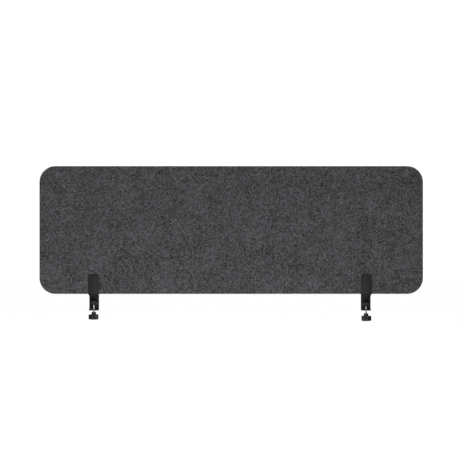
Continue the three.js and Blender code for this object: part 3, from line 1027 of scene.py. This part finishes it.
@dataclass
class Jaw(Assembly):
    """The plate behind the board, and the two set screws that press it forward."""

    plate_corner: float = 3.0
    plate_rim: float = 0.35
    dimple: float = 3.4
    dimple_depth: float = 1.2
    screw_diameter: float = 5.0
    screw_pitch: float = 0.8
    dog_diameter: float = 3.0
    dog_length: float = 1.0
    dog_chamfer: float = 0.2
    end_chamfer: float = 0.4
    socket: float = 2.5
    socket_depth: float = 3.0

    def build(self) -> None:
        """Models the plate and both screws."""
        heights = self.set_screw_heights()
        for level, height in heights.items():
            self.build_screw(level, height)
        self.build_plate(list(heights.values()))

    def build_plate(self, heights: list[float]) -> None:
        """Models the pressure plate, with a dimple for each screw.

        Args:
            heights: Where the screws meet it.
        """
        low, high = self.box("pressure_plate")
        corners = (low.x, low.z, 0), (high.x, high.z, high.y - low.y)
        blank = Blank.plate(self.named("jaw_plate"), *corners, self.plate_corner, 6)
        blank.stand_up(high.y)
        blank.ease_edges(self.plate_rim)
        span = (0, self.dimple_depth + OVERRUN)
        for height in heights:
            self.drill_from_behind(blank, self.dimple, 32, span, (high.y - self.dimple_depth, height))
        self.give(blank, "pressure_plate", "jaw", POWDER_COAT)

    def build_screw(self, level: str, height: float) -> None:
        """Models one threaded set screw with a dog point and a hexagon socket.

        Args:
            level: Whether it is the upper or the lower one.
            height: Its height.
        """
        low, high = self.box(f"{level}_set_screw")
        long, crest, dog = high.y - low.y, self.screw_diameter / 2, self.dog_diameter / 2
        threaded = self.dog_length / 2, long
        name = self.named(f"{level}_grub_screw")
        blank = threaded_rod(name, self.screw_diameter, self.screw_pitch, *threaded)
        neck, outside, end = self.dog_length + self.dog_chamfer, crest + 0.05, crest - self.end_chamfer
        envelope = [(dog, 0), (dog, neck), (outside, neck + (crest - dog) / 2)]
        envelope += [(outside, long - self.end_chamfer), (end, long), (end, long + 0.01)]
        blank.turn_down(envelope)
        point = [(dog - self.dog_chamfer, 0), (dog, self.dog_chamfer), (dog, self.dog_length + OVERRUN)]
        blank.work(Cut.ADD, Blank.turned("point", point, 32))
        socket = Blank.prism("socket", self.socket, 6, long - self.socket_depth, long + OVERRUN)
        blank.work(Cut.TAKE_AWAY, socket)
        blank.lay_along_y()
        blank.move((self.centre_x(), low.y, height))
        self.give(blank, f"{level}_set_screw", f"{level}_screw", ZINC)


@dataclass
class Foot(Assembly):
    """The swivel foot: a grooved rubber disc on a moulded dish."""

    rubber_arris: float = 0.8
    rubber_break: float = 0.3
    groove_radii: tuple[float, ...] = (4.0, 6.6, 9.2)
    groove_width: float = 0.8
    groove_depth: float = 0.5
    dish_rim: float = 4.5
    rim_chamfer: float = 0.4
    hub_diameter: float = 12.0
    hub_chamfer: float = 0.5
    shoulder: tuple[Span, ...] = ((1.2, -0.5), (0.35, -0.05), (0.0, 0.7))
    cup_diameter: float = 11.0
    cup_depth: float = 3.5
    web: float = 3.0
    spigot_hole: float = 4.6
    socket: float = 6.6

    def build(self) -> None:
        """Models the disc and the dish."""
        self.build_rubber()
        self.build_dish()

    def build_rubber(self) -> None:
        """Models the rubber disc, with ring grooves in its top."""
        low, high = self.box("foot_pad")
        radius, sharp, arris = (high.x - low.x) / 2, self.rubber_break, self.rubber_arris
        profile = [(radius - sharp, low.z), (radius, low.z + sharp), (radius, high.z - arris)]
        profile += [(radius - arris * 0.3, high.z - arris * 0.3), (radius - arris, high.z)]
        for ring in sorted(self.groove_radii, reverse=True):
            outer, inner = ring + self.groove_width / 2, ring - self.groove_width / 2
            floor = high.z - self.groove_depth
            profile += [(outer, high.z), (outer - 0.15, floor), (inner + 0.15, floor), (inner, high.z)]
        blank = Blank.turned(self.named("rubber_disc"), profile)
        self.give_on_axis(blank, "foot_pad", "foot", RUBBER)

    def build_dish(self) -> None:
        """Models the dish, with a cup for the clip above and a socket for the spindle below."""
        low, high = self.box("foot_dish")
        radius, hub = (high.x - low.x) / 2, self.hub_diameter / 2
        shelf = high.z - self.dish_rim
        lip, rim = self.hub_chamfer, self.rim_chamfer
        profile = [(hub - lip, low.z), (hub, low.z + lip)]
        profile += [(radius - inset, shelf + rise) for inset, rise in self.shoulder]
        profile += [(radius, high.z - rim), (radius - rim, high.z)]
        blank = Blank.turned(self.named("moulded_dish"), profile)
        cup, hole, socket = self.cup_diameter / 2, self.spigot_hole / 2, self.socket / 2
        cup_floor = high.z - self.cup_depth
        web_bottom = cup_floor - self.web
        core = [(socket, low.z - OVERRUN), (socket, web_bottom), (hole, web_bottom)]
        core += [(hole, cup_floor), (cup, cup_floor), (cup, high.z + OVERRUN)]
        blank.turn_away(core, PLAIN_ROUND)
        self.give_on_axis(blank, "foot_dish", "foot", DISH_PLASTIC)


@dataclass
class KnobScrew(Assembly):
    """The spindle with the knob moulded on it, its cap, and the clip at its top end."""

    diameter: float = 6.0
    pitch: float = 1.0
    spigot: float = 4.0
    spigot_length: float = 4.7
    tip_chamfer: float = 0.6
    head_flats: float = 10.0
    head_height: float = 4.0
    head_pocket: float = 11.8
    head_room: float = 0.6
    shaft_room: float = 0.15
    thread_start: float = 1.0
    neck: float = 14.3
    neck_height: float = 7.5
    neck_fillet: float = 1.6
    neck_rounding: tuple[Span, ...] = ((0.8, 0.0), (0.25, 0.12), (0.0, 0.6))
    lobes: int = 5
    lobe_circle: float = 12.0
    lobe_radius: float = 4.4
    valley_radius: float = 5.0
    edge_radius: float = 3.0
    edge_steps: int = 5
    corners_per_lobe: int = 18
    cap_recess: float = 15.3
    cap_seat: float = 2.0
    dome_leans: tuple[float, ...] = (10, 30, 50, 65)

    def build(self) -> None:
        """Models the three visible pieces, and dresses the clip that the foot hides."""
        self.build_spindle()
        self.build_knob()
        self.build_cap()
        self.dress("foot_clip", ZINC)

    def rim_radius(self, angle: float) -> float:
        """How far the knob's outline stands from its axis: round lobes joined by tangent hollows.

        Args:
            angle: The angle from the middle of a lobe, in radians.

        Returns:
            The radius, in millimetres.
        """
        step = 2 * math.pi / self.lobes
        off_lobe = abs((angle + step / 2) % step - step / 2)
        between = self.lobe_radius + self.valley_radius
        lean = math.acos(self.lobe_circle * math.sin(step / 2) / between)
        valley_circle = self.lobe_circle * math.cos(step / 2) + between * math.sin(lean)
        swing = step / 2 + math.pi / 2 - lean
        touch_x = self.lobe_circle + self.lobe_radius * math.cos(swing)
        touch_y = self.lobe_radius * math.sin(swing)
        if off_lobe <= math.atan2(touch_y, touch_x):
            across = self.lobe_circle * math.sin(off_lobe)
            return self.lobe_circle * math.cos(off_lobe) + math.sqrt(self.lobe_radius**2 - across**2)
        off_valley = step / 2 - off_lobe
        across = valley_circle * math.sin(off_valley)
        return valley_circle * math.cos(off_valley) - math.sqrt(self.valley_radius**2 - across**2)

    def stations(self, bottom: float, top: float) -> list[tuple[float, float, float]]:
        """The rings of the knob, from its lowest face to the neck's top.

        Args:
            bottom: The height of its lowest face.
            top: The height of the neck's top.

        Returns:
            Each ring's height, how far it is set in from the outline, and how round it is, from 0 for the
            lobed outline to 1 for the neck's circle.
        """
        shoulder = top - self.neck_height
        leans = [math.radians(90 / self.edge_steps * step) for step in range(self.edge_steps + 1)]
        arc = [(1 - math.cos(lean), 1 - math.sin(lean)) for lean in leans]
        edge, fillet = self.edge_radius, self.neck_fillet
        rings = [(bottom + edge * rise, edge * inset, 0.0) for rise, inset in arc]
        rings += [(shoulder - edge * rise, edge * inset, 0.0) for rise, inset in reversed(arc)]
        rings += [(shoulder, edge, 0.5)]
        rings += [(shoulder + fillet * rise, -fillet * inset, 1.0) for rise, inset in arc]
        return rings + [(top - drop, inset, 1.0) for drop, inset in self.neck_rounding]

    def build_knob(self) -> None:
        """Models the lobed knob with its round neck."""
        low, high = self.box("knob")
        rings = self.stations(low.z, high.z)
        sides = self.lobes * self.corners_per_lobe
        blank = Blank.disc(self.named("lobed_knob"), (0, 0, rings[0][0]), 1, sides)
        with blank.editing():
            blank.pick_all()
            height = rings[0][0]
            for next_height, inset, roundness in rings:
                if next_height != rings[0][0]:
                    blank.extrude((0, 0, next_height - height))
                height = next_height
                blank.set_radii(
                    lambda angle: (1 - roundness) * self.rim_radius(angle) + roundness * self.neck / 2 - inset
                )
        blank.face_outwards()
        recess, pocket, shaft = self.cap_recess / 2, self.head_pocket / 2, self.diameter / 2 + self.shaft_room
        seat = low.z + self.cap_seat
        pocket_top = seat + self.head_height + self.head_room
        core = [(recess, low.z - 2 * OVERRUN), (recess, seat), (pocket, seat), (pocket, pocket_top)]
        core += [(shaft, pocket_top), (shaft, high.z + 2 * OVERRUN)]
        blank.turn_away(core, PLAIN_ROUND)
        blank.turn(self.lobe_angle())
        self.give_on_axis(blank, "knob", "screw", KNOB_PLASTIC)

    def lobe_angle(self) -> float:
        """Which way one lobe points: outwards on the left clamp's knob, and along +X on the right one's."""
        return math.pi if self.side is Side.LEFT else 0.0

    def build_spindle(self) -> None:
        """Models the threaded spindle, with a spigot for the foot and a hexagon head in the knob."""
        low, high = self.box("spindle")
        shoulder = high.z - self.spigot_length
        spigot, crest = self.spigot / 2, self.diameter / 2
        name = self.named("threaded_spindle")
        blank = threaded_rod(name, self.diameter, self.pitch, low.z + self.thread_start, shoulder)
        outside, end, chamfer = crest + 0.05, crest - 0.55, self.tip_chamfer
        envelope = [(outside, low.z), (outside, shoulder - 0.5), (end, shoulder), (end, shoulder + OVERRUN)]
        blank.turn_down(envelope)
        tip = [(spigot, shoulder - 2), (spigot, high.z - chamfer), (spigot - chamfer, high.z)]
        blank.work(Cut.ADD, Blank.turned("tip", tip, DRILLED_ROUND))
        head = Blank.prism("head", self.head_flats, 6, low.z, low.z + self.head_height)
        blank.work(Cut.ADD, head)
        self.give_on_axis(blank, "spindle", "screw", ZINC)

    def build_cap(self) -> None:
        """Models the domed cap that closes the knob from below."""
        low, high = self.box("knob_cap")
        radius = (high.x - low.x) / 2
        face = high.z - self.cap_seat
        dome = face - low.z
        leans = [math.radians(angle) for angle in self.dome_leans]
        curve = [(radius * math.sin(lean), face - dome * math.cos(lean)) for lean in leans]
        profile = [*curve, (radius - 0.25, face - 0.05), (radius, face + 0.3), (radius, high.z)]
        blank = Blank.turned(self.named("domed_cap"), profile)
        self.give_on_axis(blank, "knob_cap", "screw", KNOB_PLASTIC)


# The studio --------------------------------------------------


@dataclass
class Studio:
    """A pale floor, soft light from all round, and a camera at the middle of the board's height."""

    camera_place: Place = (-0.0038, -6.0023, 0.2065)
    lens: float = 150.0
    sensor: float = 36.0
    floor_height: float = -0.72
    floor_size: float = 60.0
    surroundings: float = 0.05
    backdrop: float = 1.05

    def build(self) -> None:
        """Sets up the floor, the lights, the surroundings and the camera."""
        scene = bpy.context.scene
        scene.view_settings.view_transform = "Standard"
        scene.view_settings.look = "None"
        self.build_floor()
        self.light_surroundings(scene)
        low = self.floor_height + 0.02  # just clear of the floor
        for name, place, size, watts in (
            ("key", (-2.2, -2.2, 2.9), 2.4, 59),
            ("fill", (2.6, -2.2, 2.4), 2.0, 19),
            ("overhead", (0.0, 0.5, 3.0), 2.4, 30),
            ("bounce", (0.0, -1.2, low), 2.0, 26),
            ("back_left", (-2.2, 2.6, 2.6), 2.4, 46),
            ("back_right", (2.4, 2.4, 2.4), 2.4, 46),
            ("back_bounce", (0.0, 1.4, low), 2.0, 18),
        ):
            self.add_softbox(name, place, size, watts)
        self.place_camera(scene)

    def build_floor(self) -> None:
        """Lays a pale floor at a room's depth below the desk's top."""
        deselect_all()
        bpy.ops.mesh.primitive_plane_add(size=self.floor_size, location=(0, 0, self.floor_height))
        floor = bpy.context.active_object
        floor.name = "pale_floor"
        recipe = Recipe("pale_floor")
        recipe.constant(Base_Color=(0.86, 0.86, 0.86, 1), Roughness=0.9)
        recipe.constant(Emission_Color=(1, 1, 1, 1), Emission_Strength=0.95)
        floor.data.materials.append(recipe.material)
        floor.visible_diffuse = False
        floor.visible_glossy = False

    def light_surroundings(self, scene: bpy.types.Scene) -> None:
        """Makes the surroundings a white backdrop that lights the object more gently than it shows.

        Args:
            scene: The scene.
        """
        world = bpy.data.worlds.new("studio")
        world.use_nodes = True
        scene.world = world
        nodes, links = world.node_tree.nodes, world.node_tree.links
        soft, backdrop = nodes["Background"], nodes.new("ShaderNodeBackground")
        for light, strength in ((soft, self.surroundings), (backdrop, self.backdrop)):
            light.inputs["Strength"].default_value = strength
            light.inputs["Color"].default_value = (1, 1, 1, 1)
        choice = nodes.new("ShaderNodeMixShader")
        links.new(nodes.new("ShaderNodeLightPath").outputs["Is Camera Ray"], choice.inputs["Fac"])
        links.new(soft.outputs["Background"], choice.inputs[1])
        links.new(backdrop.outputs["Background"], choice.inputs[2])
        links.new(choice.outputs["Shader"], nodes["World Output"].inputs["Surface"])

    def add_softbox(self, name: str, place: Place, size: float, watts: float) -> None:
        """Hangs one square softbox, aimed at the board.

        Args:
            name: The light's name.
            place: Where it hangs, in metres.
            size: Its side, in metres.
            watts: Its power.
        """
        light = bpy.data.lights.new(name, "AREA")
        light.shape = "SQUARE"
        light.size = size
        light.energy = watts
        holder = bpy.data.objects.new(name, light)
        holder.location = place
        holder.visible_camera = False
        aim = Vector((0, 0, 0.1)) - Vector(place)
        holder.rotation_euler = aim.to_track_quat("-Z", "Y").to_euler()
        bpy.context.scene.collection.objects.link(holder)

    def place_camera(self, scene: bpy.types.Scene) -> None:
        """Sets the camera square to the board.

        Args:
            scene: The scene.
        """
        data = bpy.data.cameras.new("camera")
        data.lens = self.lens
        data.sensor_width = self.sensor
        data.clip_end = 200
        camera = bpy.data.objects.new("camera", data)
        camera.location = self.camera_place
        camera.rotation_euler = (math.pi / 2, 0, 0)
        scene.collection.objects.link(camera)
        scene.camera = camera


def main() -> None:
    """Builds the studio, the board and both clamps."""
    logging.basicConfig(level=logging.INFO, format="%(name)s: %(message)s")
    Studio().build()
    FeltBoard().build()
    for side in Side:
        for assembly in (ClampBody(side), Jaw(side), Foot(side), KnobScrew(side)):
            assembly.build()
            log.info("%s %s done", side.value, type(assembly).__name__)
    deselect_all()


if __name__ == "__main__":
    main()
